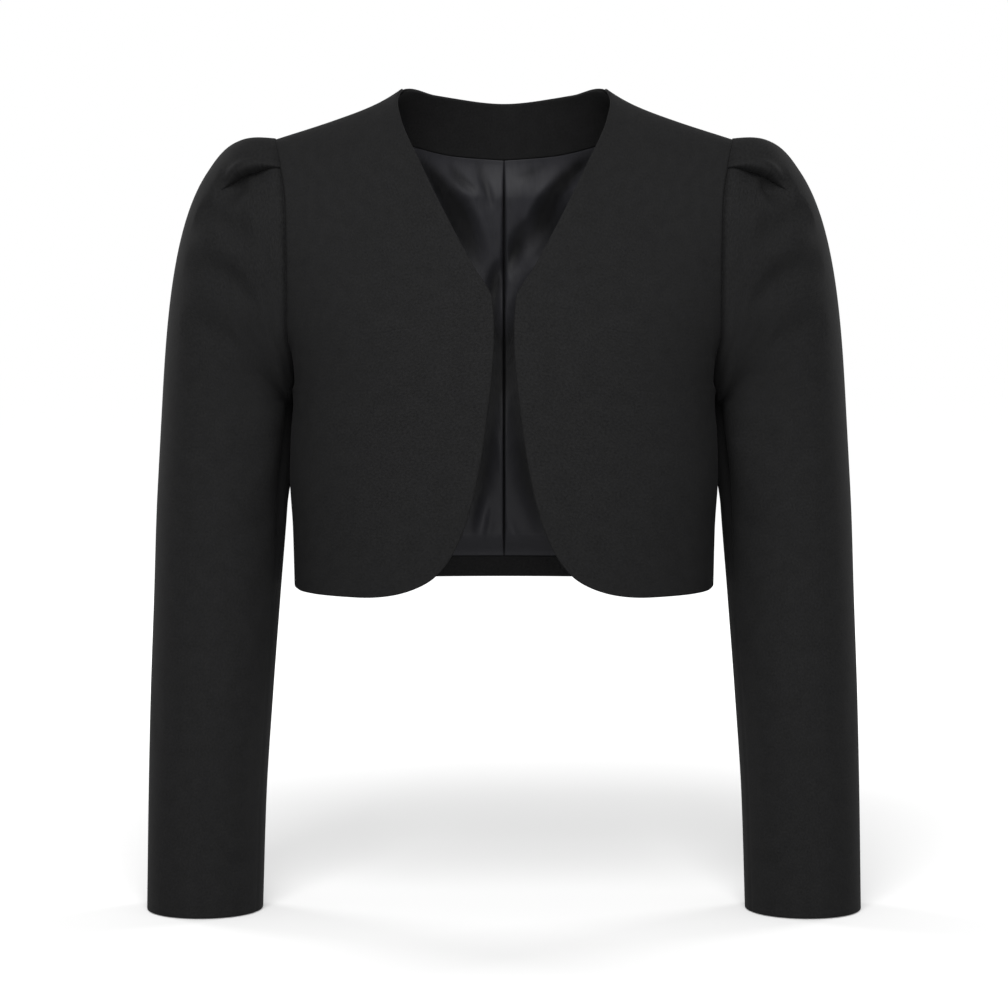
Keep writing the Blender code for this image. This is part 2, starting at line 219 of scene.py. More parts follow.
# Inside of the back: facings and lining, which end at shares of the back's half width
NECK_FACING_END = 9 / 14
NECK_FACING_EDGE = table(
    "from_centre level",
    (0.000, -0.0096),
    (0.040, -0.0070),
    (0.074, 0.0000),
    (0.100, 0.0090),
    (0.114, 0.0145),
)
FACING_MARGIN = 0.01
HEM_FACING_TOP = -0.3305
HEM_FACING_SEAM = -0.0075
LINING_END = 13 / 14
CENTRE_SEAM = 0.0015
# Gaps: below the neck facing as a share of the back's height, above the hem facing, and under each layer
LINING_BELOW = 0.001
LINING_ABOVE = 0.0003
LAYER_GAP = 0.0010
# Lining: least ease, depth of a crease at which the satin's painted shade is darkest, and least share of
# that painted shade, where below 0 a ridge gets painted light
LINING_LEAST = 0.0032
PAINTED_SHADE_DEPTH = 0.0080
PAINTED_SHADE_LEAST = -0.35

# Armhole seam: depth of its groove, and half width on each piece
SEAM_DEPTH = 0.0038
SEAM_HALF_WIDTH = {"front": 0.0015, "back": 0.0018, "sleeve": 0.0020}
# Fold below the arm: depth, and degrees round the armhole at which it begins, is full, eases and ends.
# Roll of the body's side: depth, level and reach. Both have the half width that follows.
FOLD_DEPTH = 0.0120
FOLD_TURNS = (116, 150, 154, 180)
SIDE_ROLL = (0.012, -0.215, 0.050)
ROLL_HALF_WIDTH = {"front": 0.0085, "back": 0.030, "sleeve": 0.0115}
# Grooves of the other seams: depth and half width
SIDE_GROOVE = (0.0007, 0.0016)
SIDE_GROOVE_END = 0.010
SLEEVE_SEAM = (0.0006, 0.0009)
SLEEVE_SEAM_TURN = np.radians(158)

# Soft troughs. Each runs on an arc through three points of the piece laid flat; it is deepest midway and
# gone at both ends. Lengths are in millimetres, and a ridge has a negative depth. Side 1 is only on the
# wearer's left piece, -1 only on the right, 0 on both. On fronts and back u and v are in percent.
TROUGH = "u_from v_from u_mid v_mid u_to v_to depth half_width side"
FRONT_TROUGHS = table(
    TROUGH,
    (103, 49, 82, 55, 60, 59, 1.6, 12, 1),
    (103, 51, 84, 58, 64, 64, 1.4, 12, -1),
    (103, 43, 88, 39, 68, 37, 1.4, 13, 0),
    (80, -4, 84, 14, 82, 32, 1.2, 15, 1),
    (74, -4, 79, 11, 80, 26, 1.1, 14, -1),
    (46, -5, 51, 10, 52, 26, 0.8, 17, 0),
    (62, 60, 57, 74, 50, 90, 0.8, 20, 0),
    (24, 38, 36, 49, 46, 60, -0.8, 22, 0),
    (90, 16, 72, 24, 50, 28, -0.6, 18, 1),
)
BACK_TROUGHS = table(
    TROUGH,
    (-103, 50, -78, 57, -52, 61, 2.2, 12, 0),
    (103, 51, 80, 59, 54, 65, 2, 13, 0),
    (-102, 43, -80, 37, -58, 33, 1.8, 13, 0),
    (102, 42, 84, 35, 63, 29, 1.6, 12, 0),
    (-43, -6, -40, 16, -34, 38, 1.8, 17, 0),
    (34, -6, 38, 12, 41, 30, 1.6, 16, 0),
    (-12, -6, -10, 9, -5, 24, 1.1, 14, 0),
    (72, -5, 70, 10, 72, 22, 1.2, 13, 0),
    (-74, -5, -76, 11, -72, 25, 1.3, 14, 0),
    (-34, 95.5, 0, 94.5, 30, 95, 0.9, 12, 0),
    (-66, 70, -50, 80, -42, 90, 1.2, 16, 0),
    (62, 72, 50, 83, 44, 92, 1, 17, 0),
    (10, 34, 2, 52, 8, 70, -1, 26, 0),
)
# On a sleeve u is the turn in degrees, and v the fall from the armhole
SLEEVE_TROUGHS = table(
    TROUGH,
    (33, 79, 54, 62, 80, 26, 5.6, 8.5, 0),
    (38, 106, 72, 81, 102, 42, 5.4, 9.5, 0),
    (46, 134, 74, 122, 104, 105, 3, 10, 0),
    (132, 110, 134, 180, 138, 250, -6, 20, 0),
    (178, 150, 178, 197, 178, 244, -2.8, 20, 0),
    (164, 130, 164, 215, 162, 310, 5.6, 12.5, 0),
    (-178, 150, -178, 197, -178, 244, -2.8, 20, 0),
    (-166, 30, -169, 150, -172, 255, -8, 20, 0),
    (44, 92, 66, 71, 90, 35, -1.4, 8, 0),
    (48, 26, 46, 44, 41, 62, 8, 7.5, 0),
    (46, 28, 49.5, 37, 52, 47, 2.4, 3, 1),
    (-34, 88, -62, 64, -94, 26, 4.4, 10, 0),
    (-42, 124, -74, 98, -110, 56, 3.6, 11, 0),
    (-58, 152, -88, 138, -124, 126, 2.2, 10, 0),
    (-47, 43, -44, 54, -38, 66, 5, 4.5, 0),
    (158, 185, 112, 205, 66, 222, 1.6, 12, 1),
    (158, 192, 116, 214, 74, 226, 1.5, 12.5, -1),
    (166, 255, 124, 271, 80, 288, 1.3, 13, 0),
    (174, 318, 140, 327, 102, 338, 1.1, 12, 0),
    (-156, 195, -112, 214, -70, 238, 2, 12, 0),
    (-168, 268, -126, 290, -84, 312, 1.7, 13, 0),
    (-176, 346, -140, 358, -100, 378, 1.3, 12, 0),
    (22, 380, 44, 420, 64, 470, 0.9, 14, 0),
    (-30, 400, -48, 450, -64, 500, 1.1, 14, 0),
    (106, 352, 84, 370, 60, 374, 1, 10, 1),
    (154, 512, 130, 530, 100, 528, 0.8, 10, 0),
    (-120, 500, -96, 520, -70, 522, 0.8, 11, 0),
)
# On the lining u is the distance from the centre back to the wearer's left, and v the level
LINING_TROUGHS = table(
    TROUGH,
    (-79, -1, -60, -21, -45, -42, 8, 6.6, 0),
    (-62, -20, -38.5, -54, -20, -112, 10, 12.5, 0),
    (-46, -24, -24, -50, -11, -88, -2.6, 7, 0),
    (-47, -10, -36, -23.5, -23, -33, 4.6, 3.8, 0),
    (-25, -9, -17, -25, -11, -47, 3.4, 4, 0),
    (-2, -86, -8, -112, -11.5, -150, 7.5, 6.6, 0),
    (82, 1, 57, -18.5, 37, -39, 9, 6.4, 0),
    (54, -19, 36.5, -47, 18, -86, 10, 8.8, 0),
    (43, -20, 26.2, -40, 12, -66, -2.6, 5.8, 0),
    (20, -54, 10, -79, -1, -106, 8, 6.6, 0),
    (36, -12, 21, -20, 8, -22, 3.6, 4, 0),
    (58, -42, 44, -64, 26, -95, 6, 8, 0),
    (26, -96, 17, -120, 11, -146, 4, 6.5, 0),
    (-12, -120, -9.5, -176, -12.5, -242, 11.5, 10.5, 0),
    (18, -116, 11, -170, 13, -236, 10.8, 12, 0),
    (-30, -118, -21, -150, -16, -184, 3.6, 7, 0),
    (33, -168, 26, -200, 14, -234, 3, 7, 0),
    (-7, -224, -3.5, -244, -2, -264, -1.6, 4, 0),
    (-13, -205, -19.5, -260, -35, -324, 8.5, 9, 0),
    (-14, -274, -17.5, -299, -22, -324, -2.6, 6, 0),
    (-10.5, -286, -12.5, -305, -16, -323, 2, 3.6, 0),
    (11, -198, 22, -260, 40, -328, 9, 11, 0),
    (3, -298, 8, -312, 15, -323, -1.8, 4, 0),
    (-96, -50, -80, -100, -62, -156, 5, 9.5, 0),
    (101, -58, 82, -112, 68, -164, 4.8, 9.5, 0),
    (-112, -190, -98, -240, -78, -296, 4, 9.5, 0),
    (108, -200, 90, -256, 76, -306, 4, 9.5, 0),
    (-62, -190, -52, -235, -54, -280, 3.4, 8, 0),
    (56, -150, 50, -200, 56, -250, 3.6, 8.5, 0),
    (-130, -90, -124, -150, -130, -220, 3, 8.5, 0),
    (132, -100, 125, -170, 131, -240, 3, 8.5, 0),
)
MILLIMETRE = 0.001
PERCENT = 0.01
# Steps of each arc, power of its swell, and share of its half width at the ends
TROUGH_STEPS = 12
SWELL_POWER = 1.5
END_WIDTH = 0.6
# Distances over which creases ease off at seams, and at the lining's lower and upper edge
EASE_EDGE = 0.012
EASE_LOW = 0.020
EASE_TOP = 0.030

# Lining's centre seam: share of the ease lost, least half width, and a wider part about one level
CENTRE_DIP = 0.50
CENTRE_HALF = 0.0006
CENTRE_OPEN = (0.0008, -0.078, 0.040)

# Rounded edges: distances of the first grid lines, radius, and share of the wall at the edge
EDGE_STEPS = np.array((0.0, 0.00015, 0.0005, 0.0011, 0.0024))
EDGE_ROUND = 0.0011
EDGE_LEAST = 0.15
# Fronts: share of the width over which creases ease off, least height for normals, and share of the
# height with rows closer together at the hem
FREE_EDGE = 0.05
NORMAL_LEAST = 0.003
HEM_ROWS = 0.40
HEM_LINES = 64

# Width and length of each flat panel's grid, and its even lines each way
FRONT_SIZE = (0.175, 0.3865)
FRONT_LINES = (84, 150)
BACK_SIZE = (0.430, 0.375)
BACK_LINES = (150, 130)
NECK_FACING_SIZE = (0.260, 0.045)
NECK_FACING_LINES = (120, 24)
HEM_FACING_SIZE = (0.380, 0.0165)
HEM_FACING_LINES = (140, 12)
LINING_SIZE = (0.200, 0.340)
LINING_LINES = (120, 170)
# Grid lines of a sleeve: round half of it, down the head and down the arm
AROUND_LINES = 66
HEAD_LINES = 66
ARM_LINES = 96
SIDES = {1: "left", -1: "right"}

# Flat cuts: width and length of the cloth, and area of the shaped piece
CUTS = {
    "back": (0.440, 0.390, 0.156),
    "front": (0.200, 0.400, 0.0664),
    "sleeve": (0.340, 0.640, 0.170),
    "neck_facing": (0.260, 0.055, 0.0122),
    "hem_facing": (0.390, 0.018, 0.0067),
    "lining": (0.215, 0.350, 0.062),
}

# Patterns: blotches per metre, detail and stretch of each noise, and width of a twill line
NAP = (620.0, 3.0, (1.0, 1.0, 1.0))
CLOUD = (85.0, 3.0, (1.0, 1.0, 1.0))
FIBRES = (2200.0, 1.0, (1.0, 0.35, 1.0))
FLOATS = (900.0, 2.0, (1.0, 0.12, 1.0))
RIPPLE = (75.0, 2.0, (1.0, 0.6, 1.0))
TWILL_WIDTH = 0.0011

# Looks: range of the colour; first number and weights of the patterns in that range, in the height and in
# the roughness; settings of bump and surface
SUITING_LOOK = {
    "range": (0.45, 1.55),
    "tones": (-0.625, 1.2, 0.35, 0.7),
    "heights": (0.0, 0.6, 0.3, 0.10),
    "roughness": (0.82, 0.14),
    "bump": {"Strength": 0.30, "Distance": 0.0005},
    "surface": {
        "Specular IOR Level": 0.035, "Sheen Weight": 0.003,
        "Sheen Roughness": 0.35, "Sheen Tint": (0.9, 0.9, 0.92, 1.0),
    },
}
SATIN_LOOK = {
    "range": (0.12, 1.35),
    # The last tone weight works on the attribute hollow: painted shade in the satin's creases and painted
    # light on its ridges
    "tones": (0.45, 0.22, 0.22, -0.66),
    "heights": (0.0, 0.9, 0.1),
    "roughness": (0.52, 0.14),
    "bump": {"Strength": 0.5, "Distance": 0.0020},
    "surface": {"Specular IOR Level": 0.10, "Anisotropic": 0.2},
}

# Floor: gap below the jacket, corners, surface, share of its glow at the middle, and where that grows
FLOOR_GAP = 0.0005
FLOOR_CORNERS = ((-30.0, -30.0), (30.0, -30.0), (30.0, 30.0), (-30.0, 30.0))
FLOOR_SURFACE = {"Base Color": (0.33, 0.33, 0.33, 1.0), "Roughness": 0.9, "Specular IOR Level": 0.0}
NEAR_GLOW = 0.18
GLOW_NEAR = 0.25
GLOW_FAR = 2.0

# Lights: name, place, size and the setting with its power; the point they look at; sensor in millimetres
LIGHTS = (
    ("key_light", (-0.25, -2.4, 1.75), 1.6, "key"),
    ("fill_light", (0.2, -2.9, -0.32), 1.2, "fill"),
    ("side_light", (-2.4, 1.8, 0.7), 1.0, "sides"),
    ("side_light", (2.4, 1.8, 0.7), 1.0, "sides"),
)
LIGHT_AIM = np.array((0.0, 0.0, -0.25))
WHITE = (1.0, 1.0, 1.0, 1.0)
SENSOR_WIDTH = 36.0


class BlazerCloth(bpy.types.PropertyGroup):
    """Thickness of the cloths, their colours, and how deep they fold."""

    shell: FloatProperty(name="Shell", description="Thickness of the suiting", default=0.0020, unit="LENGTH")
    facing: FloatProperty(
        name="Facing", description="Thickness of the facings", default=0.0012, unit="LENGTH"
    )
    lining: FloatProperty(name="Lining", description="Thickness of the satin", default=0.0008, unit="LENGTH")
    lining_ease: FloatProperty(
        name="Lining ease", description="How far the lining stands off", default=0.0102, unit="LENGTH"
    )
    pleat_raise: FloatProperty(
        name="Pleat height", description="Height of the pleat's folded edge", default=0.0060, unit="LENGTH"
    )
    pleat_tuck: FloatProperty(
        name="Pleat tuck", description="How far the fold lies over the cloth", default=0.0036, unit="LENGTH"
    )
    pleat_hollow: FloatProperty(
        name="Pleat hollow", description="How deep the cloth sinks beside it", default=0.0072, unit="LENGTH"
    )
    pleat_roll: FloatProperty(
        name="Pleat roll", description="Extra height of the fold's round rim", default=0.0016, unit="LENGTH"
    )
    suiting: FloatVectorProperty(
        name="Suiting", description="Colour of the shell", default=(0.0044, 0.0044, 0.0045), subtype="COLOR"
    )
    satin: FloatVectorProperty(
        name="Satin", description="Colour of the lining", default=(0.0088, 0.0088, 0.0103), subtype="COLOR"
    )


class BlazerStudio(bpy.types.PropertyGroup):
    """Camera and light of the studio."""

    distance: FloatProperty(
        name="Distance", description="Camera to the shoulder line", default=2.30, unit="LENGTH"
    )
    height: FloatProperty(name="Height", description="Level of the camera", default=-0.1537, unit="LENGTH")
    tilt: FloatProperty(
        name="Tilt", description="How far the camera looks down", default=np.radians(3.2), subtype="ANGLE"
    )
    lens: FloatProperty(name="Lens", description="Focal length in millimetres", default=105.5)
    key: FloatProperty(
        name="Key light", description="Power of the high light in front", default=186.0, unit="POWER"
    )
    fill: FloatProperty(
        name="Fill light", description="Power of the low light in front", default=92.0, unit="POWER"
    )
    sides: FloatProperty(
        name="Side lights", description="Power of each light behind", default=75.0, unit="POWER"
    )
    sky: FloatProperty(name="Sky", description="Strength of the even white light", default=1.0)
    floor_glow: FloatProperty(name="Floor glow", description="Own light of the white floor", default=0.67)


def curve(columns, x, y, at):
    """Smooth curve through a table's rows: cubic pieces whose slopes never overshoot a row."""
    order = np.argsort(columns[x])
    xs, ys = columns[x][order], columns[y][order]
    step = np.diff(xs)
    slope = np.diff(ys) / step
    rising = slope[:-1] * slope[1:] > 0
    total = np.where(rising, slope[:-1] + slope[1:], 1.0)
    middle = np.where(rising, 2 * slope[:-1] * slope[1:] / total, 0.0)
    tangent = np.concatenate([slope[:1], middle, slope[-1:]])
    at = np.clip(at, xs[0], xs[-1])
    i = np.clip(np.searchsorted(xs, at) - 1, 0, len(step) - 1)
    return hermite((at - xs[i]) / step[i], ys[i], tangent[i] * step[i], ys[i + 1], tangent[i + 1] * step[i])


def hermite(t, start, leave, end, arrive):
    """Cubic from start to end that leaves and arrives with the given slopes."""
    rest = 1 - t
    return (
        (1 + 2 * t) * rest**2 * start
        + t * rest**2 * leave
        + t**2 * (3 - 2 * t) * end
        - t**2 * rest * arrive
    )


def fade(t):
    """From 1 at t = 0 smoothly to 0 at t = 1."""
    t = np.clip(t, 0, 1)
    return 1 - t * t * (3 - 2 * t)


def bell(t):
    """From 1 at t = 0 down to almost 0 at t = 2 on either side."""
    return np.exp(-(t**2))


def unit(vectors):
    """The same directions with a length of 1."""
    return vectors / np.linalg.norm(vectors, axis=-1, keepdims=True)


def shoulder_turn(x, level):
    """From 0 on the shoulder seam to 1 where the cloth hangs straight: a quarter of an ellipse."""
    drop = (curve(SHOULDER_LINE, "from_centre", "level", np.abs(x)) - level) / SHOULDER_TURN
    drop = np.clip(drop, 0, 1)
    return np.sqrt(drop * (2 - drop))


def armhole_round(turn):
    """Share of the armhole's reach at a turn: an egg, with its broad end at the underarm."""
    return np.abs(np.sin(turn)) ** np.where(np.cos(turn) < 0, ARMHOLE_BREADTH, 1.0)


def half_width(level, face):
    """Half width of the body's ring at a level; above the underarm it leads through the armhole's seam."""
    below = curve(SIDE_SEAM, "level", "half_width", level)
    level = np.clip(level, UNDERARM, ARMHOLE_TOP_SHARE * UNDERARM)
    edge = curve(ARMHOLE, "level", "from_centre", level)
    depth = curve(BODY_DEPTH, "level", face, level) * shoulder_turn(edge, level)
    turn = np.arccos(1 - 2 * level / UNDERARM)
    share = ARMHOLE_REACH[face] * armhole_round(turn) / depth
    above = edge / (1 - share**SQUARENESS) ** (1 / SQUARENESS)
    return np.where(level <= UNDERARM, below, above)


def outer_edge(level):
    """Distance from the centre of a panel's outer edge: side seam, then armhole."""
    side = curve(SIDE_SEAM, "level", "half_width", level)
    return np.where(level <= UNDERARM, side, curve(ARMHOLE, "level", "from_centre", level))


def body_points(x, level, face):
    """Points of the body's cloth: a squared ellipse at each level, turned in towards the shoulder seam."""
    edge = half_width(level, face)
    even = curve(BODY_RING, "level", "half_width", level)
    rise = (level - UNDERARM) / (BODY_RING["level"][-1] - UNDERARM)
    near_edge = np.clip(np.abs(x) / outer_edge(level), 0, 1) ** RING_EDGE
    ring_width = edge + (even - edge) * fade(rise) * (1 - near_edge)
    share = np.clip(np.abs(x) / ring_width, 0, 1)
    ring = (1 - share**SQUARENESS) ** (1 / SQUARENESS)
    depth = curve(BODY_DEPTH, "level", face, level) * ring * shoulder_turn(x, level)
    return np.stack([x, -depth if face == "front" else depth, level], axis=-1)


def hem_level(across):
    """Level of the hem: even, and lifted a little towards the side seam."""
    return HEM + HEM_LIFT * across**HEM_POWER


def across_ring(share, start, end):
    """Distance from the centre, a share of the way round the ring to the end's level and distance."""
    last = np.radians(curve(COLUMN_SPREAD, "level", "degrees", end[0]))
    first = np.arcsin(start / end[1] * np.sin(last))
    done = (np.sin(first + (last - first) * share) - np.sin(first)) / (np.sin(last) - np.sin(first))
    return start + (end[1] - start) * done


def across_panel(across, up, inner, level):
    """Distance from the centre of a panel's points: even steps round the ring, fitted to the outer edge."""
    low = hem_level(1) * (1 - up)
    x = across_ring(across, inner, (low, outer_edge(low)))
    return x * (1 + (outer_edge(level) / outer_edge(low) - 1) * across)


def front_surface(across, up):
    """Front panel: across 0 at the front edge and 1 at the side, up 0 at the hem and 1 at the shoulder."""
    above_hem = FRONT_EDGE["above_hem"][-1] * up
    roots = {key: np.sqrt(value) if key == "above_hem" else value for key, value in FRONT_EDGE.items()}
    inner = curve(roots, "above_hem", "from_centre", np.sqrt(above_hem))
    shoulder = across_ring(across, NECK_POINT, (0.0, SHOULDER_POINT))
    top = curve(SHOULDER_LINE, "from_centre", "level", shoulder)
    level = hem_level(across) + (top - hem_level(across)) * up
    return body_points(across_panel(across, up, inner, level), level, "front")


def back_top(x):
    """Level of the back's top edge: the neckline, humped next to the neck point, then the shoulder."""
    neck_level = curve(SHOULDER_LINE, "from_centre", "level", np.array(NECK_POINT))
    inward = np.clip((NECK_POINT - x) / NECK_ROLL_WIDTH, 0, 1)
    neck = neck_level + (NECK_CENTRE_BACK - neck_level) * fade(x / NECK_POINT)
    neck = neck + NECK_ROLL * HUMP_SCALE * inward * (1 - inward) ** 2
    return np.where(x < NECK_POINT, neck, curve(SHOULDER_LINE, "from_centre", "level", x))


def back_surface(across, up):
    """Back panel: across -1 at the wearer's left and 1 at the right, up 0 at the hem and 1 at the top."""
    side = np.abs(across)
    shoulder = across_ring(side, 0.0, (0.0, SHOULDER_POINT))
    level = hem_level(side) + (back_top(shoulder) - hem_level(side)) * up
    x = across_panel(side, up, 0.0, level)
    return body_points(-np.sign(across) * x, level, "back")


def back_height(across, level):
    """Share of the way up the back panel at which its cloth reaches a level."""
    side = np.abs(across)
    shoulder = across_ring(side, 0.0, (0.0, SHOULDER_POINT))
    return (level - hem_level(side)) / (back_top(shoulder) - hem_level(side))


def neck_facing_height(across):
    """Share of the way up the back panel of the neck facing's lower edge."""
    x = across_ring(np.abs(across), 0.0, (0.0, SHOULDER_POINT))
    return back_height(across, curve(NECK_FACING_EDGE, "from_centre", "level", x))


def armhole_seam(turn):
    """Armhole's seam: turn 0 at the shoulder point, a quarter turn at the front, half at the underarm."""
    level = UNDERARM * (1 - np.cos(turn)) / 2
    reach = np.where(np.sin(turn) > 0, -ARMHOLE_REACH["front"], ARMHOLE_REACH["back"]) * armhole_round(turn)
    return np.stack([curve(ARMHOLE, "level", "from_centre", level), reach, level], axis=-1)


def sleeve_tube(turn, level):
    """Straight part of the sleeve: an ellipse at each level."""
    size = {key: curve(SLEEVE, "level", key, level) for key in SLEEVE if key != "level"}
    x = size["centre_x"] + size["half_width"] * np.cos(turn)
    y = size["centre_y"] - size["half_depth"] * np.sin(turn)
    return np.stack([x, y, level + np.zeros_like(turn)], axis=-1)


def sleeve_surface(turn, down):
    """Sleeve: down 0 at the armhole, 1 at the end of the puffed head and 2 at the cuff."""
    shell = bpy.context.scene.blazer_cloth.shell
    low, side = (1 - np.cos(turn)) / 2, np.abs(np.sin(turn))
    start = armhole_seam(turn) + (ARMHOLE_GAP + shell * low**SET_OFF_POWER)[..., None] * OUTWARD
    leave = (1 - low)[..., None] * HEAD_TOP + low[..., None] * HEAD_UNDERARM + side[..., None] * HEAD_SIDE
    end = sleeve_tube(turn, SLEEVE_HEAD_END)
    arrive = (sleeve_tube(turn, SLEEVE_HEAD_END - SLOPE_STEP) - end) / SLOPE_STEP
    reach = np.linalg.norm(end - start, axis=-1, keepdims=True)
    leave = unit(leave) * reach
    head = hermite(np.clip(down, 0, 1)[..., None], start, leave, end, arrive * reach * HEAD_DROP)
    level = SLEEVE_HEAD_END + (CUFF - SLEEVE_HEAD_END) * np.clip(down - 1, 0, 1)
    return np.where((down <= 1)[..., None], head, sleeve_tube(turn, level))


def normals(surface, u, v, ring=False, step=1e-4):
    """Unit normals of a surface and its direction of growing u. A ring's u runs on past its last column."""
    low, high = (-np.inf, np.inf) if ring else (u.min(), u.max())
    along_u = surface(np.minimum(u + step, high), v) - surface(np.maximum(u - step, low), v)
    along_v = surface(u, np.minimum(v + step, v.max())) - surface(u, np.maximum(v - step, v.min()))
    return unit(np.cross(along_u, along_v)), unit(along_u)


def troughs(rows, u, v, scale, side=0):
    """Depth of a table's soft troughs: a bell of the distance to the nearest of an arc's straight steps. It
    swells from nothing at the arc's ends to full depth midway, and is narrower towards the ends."""
    places = np.stack([u * scale[0], v * scale[1]], axis=-1)[..., None, :]
    t = np.linspace(0, 1, TROUGH_STEPS + 1)[:, None]
    total = np.zeros(np.shape(u))
    for u_from, v_from, u_mid, v_mid, u_to, v_to, depth, half, only in zip(*rows.values()):
        if only * side < 0:
            continue
        start, middle, end = np.array(((u_from, v_from), (u_mid, v_mid), (u_to, v_to))) * scale
        bend = 2 * middle - (start + end) / 2
        arc = start * (1 - t) ** 2 + bend * 2 * t * (1 - t) + end * t**2
        step = arc[1:] - arc[:-1]
        share = np.clip(((places - arc[:-1]) * step).sum(-1) / (step * step).sum(-1), 0, 1)
        away = np.linalg.norm(places - arc[:-1] - share[..., None] * step, axis=-1)
        near = away.argmin(axis=-1)[..., None]
        along = (near + np.take_along_axis(share, near, axis=-1))[..., 0] / TROUGH_STEPS
        swell = (1 - (2 * along - 1) ** 2) ** SWELL_POWER
        wide = half * MILLIMETRE * (END_WIDTH + (1 - END_WIDTH) * swell)
        total += depth * swell * bell(away.min(axis=-1) / wide)
    return total * MILLIMETRE


def grid_lines(count, length):
    """Places from 0 to 1 of a length's grid lines: even, and close together at both edges."""
    near = EDGE_STEPS / length
    return np.concatenate([near, np.linspace(near[-1], 1 - near[-1], count)[1:-1], 1 - near[::-1]])


def edge_share(distance):
    """Share of the wall's thickness by the distance to an edge: a quarter circle, full further in."""
    t = np.clip(distance / EDGE_ROUND, 0, 1)
    return np.maximum(np.sqrt(t * (2 - t)), EDGE_LEAST)


def panel_edges(columns, rows, size, free=(True, True), free_top=True):
    """Share of the wall's thickness on a panel's grid, rounded at its lower edge, at those of its two sides
    that are free, and at its upper edge where that is free."""
    from_side = np.minimum(np.where(free[0], columns, 1), np.where(free[1], 1 - columns, 1))
    from_end = np.minimum(rows[:, None], np.where(free_top, 1 - rows[:, None], 1))
    return edge_share(from_side * size[0])[None] * edge_share(from_end * size[1])


def groove(distance, size):
    """Depth of a seam's groove by the distance to the seam."""
    return size[0] * bell(distance / size[1])


def armhole_shift(level, front, distance, piece):
    """How far the cloth beside the armhole or side seam moves back, by the seam's level and the distance to
    it: roll of the body's side, fold below the arm and groove of the seam. Fold and groove go in on the
    front (1) and the back (-1), alike on both pieces, so the seam stays shut."""
    cosine = 1 - 2 * np.clip(level / UNDERARM, 0, 1)
    turned = np.degrees(np.arccos(cosine))
    begins, full, eases, ends = FOLD_TURNS
    fold = (1 - fade((turned - begins) / (full - begins))) * fade((turned - eases) / (ends - eases))
    depth, middle, reach = SIDE_ROLL
    wide = depth * bell((level - middle) / reach) + front * FOLD_DEPTH * fold
    narrow = front * SEAM_DEPTH * np.sqrt(1 - cosine**2)
    return wide * bell(distance / ROLL_HALF_WIDTH[piece]) + narrow * bell(distance / SEAM_HALF_WIDTH[piece])


def side_groove(level, distance):
    """Depth of the side seam's groove, which ends at the armhole."""
    return groove(distance, SIDE_GROOVE) * fade((level - UNDERARM) / SIDE_GROOVE_END)


def mirrored(points, side):
    """Points of the wearer's left half, or with side -1 those of the right, their columns turned about."""
    return points if side > 0 else points[:, ::-1] * (-1.0, 1.0, 1.0)


def quads(a, b, c, d):
    """Four-sided faces from four equal arrays of corners."""
    return np.stack([a.ravel(), b.ravel(), c.ravel(), d.ravel()], axis=-1)


def add_object(name, data):
    """A new object in the scene."""
    made = bpy.data.objects.new(name, data)
    bpy.context.scene.collection.objects.link(made)
    return made


def shell_piece(name, outer, inner, flat, cloth, around=0.0, hollow=None):
    """Closed wall between two grids of points, with the flat cloth's own metres as its UV map. On a tube the
    last column joins the first, and around is its flat width, negative where flat runs backwards. The share
    of crease depth, if given, is kept as the points' attribute hollow, which the satin paints as shade."""
    rows, columns = outer.shape[:2]
    index = np.arange(rows * columns).reshape(rows, columns)
    place = index
    if around:
        index = np.column_stack([index, index[:, 0]])
        flat = np.concatenate([flat, flat[:, :1] + (around, 0.0)], axis=1)
        place = np.arange(flat.shape[0] * flat.shape[1]).reshape(flat.shape[:2])

    def faces(grid, behind):
        made = [
            quads(grid[:-1, :-1], grid[:-1, 1:], grid[1:, 1:], grid[1:, :-1]),
            quads(behind[:-1, :-1], behind[1:, :-1], behind[1:, 1:], behind[:-1, 1:]),
            quads(behind[0, :-1], behind[0, 1:], grid[0, 1:], grid[0, :-1]),
            quads(grid[-1, :-1], grid[-1, 1:], behind[-1, 1:], behind[-1, :-1]),
        ]
        if not around:
            made.append(quads(grid[:-1, 0], grid[1:, 0], behind[1:, 0], behind[:-1, 0]))
            made.append(quads(behind[:-1, -1], behind[1:, -1], grid[1:, -1], grid[:-1, -1]))
        return np.concatenate(made)

    points = np.concatenate([outer.reshape(-1, 3), inner.reshape(-1, 3)])
    mesh = bpy.data.meshes.new(name)
    mesh.from_pydata(points.tolist(), [], faces(index, index + rows * columns).tolist())
    places = flat.reshape(-1, 2)[faces(place, place).ravel()]
    mesh.uv_layers.new(name="cloth").data.foreach_set("uv", places.ravel())
    if hollow is not None:
        depths = mesh.attributes.new("hollow", "FLOAT", "POINT")
        depths.data.foreach_set("value", np.tile(hollow.ravel(), 2))
    mesh.shade_smooth()
    mesh.materials.append(cloth)
    return add_object(name, mesh)


def declare(piece, slot, cut, *nodes):
    """Ties a piece to the frame's body and hides the solids it stands for; its finish and flat cut are not
    used.
    """
    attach(piece, "root")
    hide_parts(*nodes)


def add_side(piece, side, outer, inner, flat, around=0.0):
    """One of two mirrored pieces of suiting, which stands in for the solid of its name and hides it."""
    name = f"{piece}_{SIDES[side]}"
    outer, inner = mirrored(outer, side), mirrored(inner, side)
    made = shell_piece(f"{name}_cloth", outer, inner, flat[:, ::side], suiting_material(), side * around)
    declare(made, "suiting", CUTS[piece], name)


